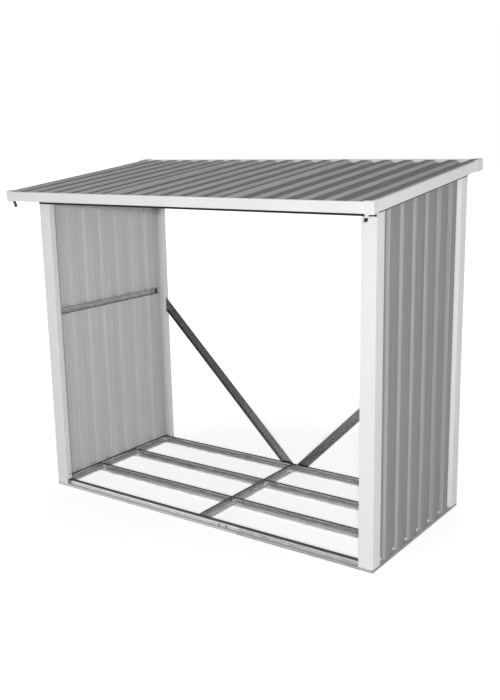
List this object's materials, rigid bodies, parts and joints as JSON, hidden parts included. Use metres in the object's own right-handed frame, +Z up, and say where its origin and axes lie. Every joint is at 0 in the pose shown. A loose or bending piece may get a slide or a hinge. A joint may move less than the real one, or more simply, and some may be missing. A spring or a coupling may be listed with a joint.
{
  "type": "log store",
  "caption": "Open-fronted and open-backed steel log store with ribbed side walls, folded corner posts, a floor frame of channels, diagonal back braces and a ribbed lean-to roof.",
  "frame": {"origin": "on the ground at the middle of the base frame, on the underside of the centre floor rail", "axes": "+X to the right seen from the open front, +Y to the back, +Z up"},
  "size_m": [1.7892, 0.9266, 1.4888],
  "materials": {
    "galvanised": "galvanised, slightly streaked",
    "white_paint": "satin white coating",
    "grey_paint": "satin mid-grey coating",
    "dark_paint": "satin near-black coating",
    "white_plastic": "moulded, satin",
    "dark_plastic": "moulded, satin"
  },
  "bodies": {
    "root": {"front_base_rail_left": "galvanised", "front_base_rail_right": "galvanised", "rear_base_rail_left": "galvanised", "rear_base_rail_right": "galvanised", "left_base_rail": "galvanised", "right_base_rail": "galvanised", "centre_floor_rail": "galvanised", "front_joist_left": "galvanised", "front_joist_right": "galvanised", "rear_joist_left": "galvanised", "rear_joist_right": "galvanised", "left_mid_rail": "galvanised", "right_mid_rail": "galvanised", "left_brace": "galvanised", "right_brace": "galvanised", "front_left_post": "white_paint", "front_right_post": "white_paint", "rear_left_post": "white_paint", "rear_right_post": "white_paint", "front_trim_left": "white_paint", "front_trim_right": "white_paint", "rear_trim_left": "white_paint", "rear_trim_right": "white_paint", "left_trim": "white_paint", "right_trim": "white_paint", "left_wall_sheet": "grey_paint", "right_wall_sheet": "grey_paint", "roof_sheet_left": "grey_paint", "roof_sheet_middle": "grey_paint", "roof_sheet_right": "grey_paint", "front_left_cap": "white_plastic", "front_right_cap": "white_plastic", "rear_left_cap": "white_plastic", "rear_right_cap": "white_plastic", "front_top_beam": "dark_paint", "rear_top_beam": "dark_paint", "left_side_beam": "dark_paint", "right_side_beam": "dark_paint", "left_spout": "dark_plastic", "right_spout": "dark_plastic"}
  },
  "joints": []
}
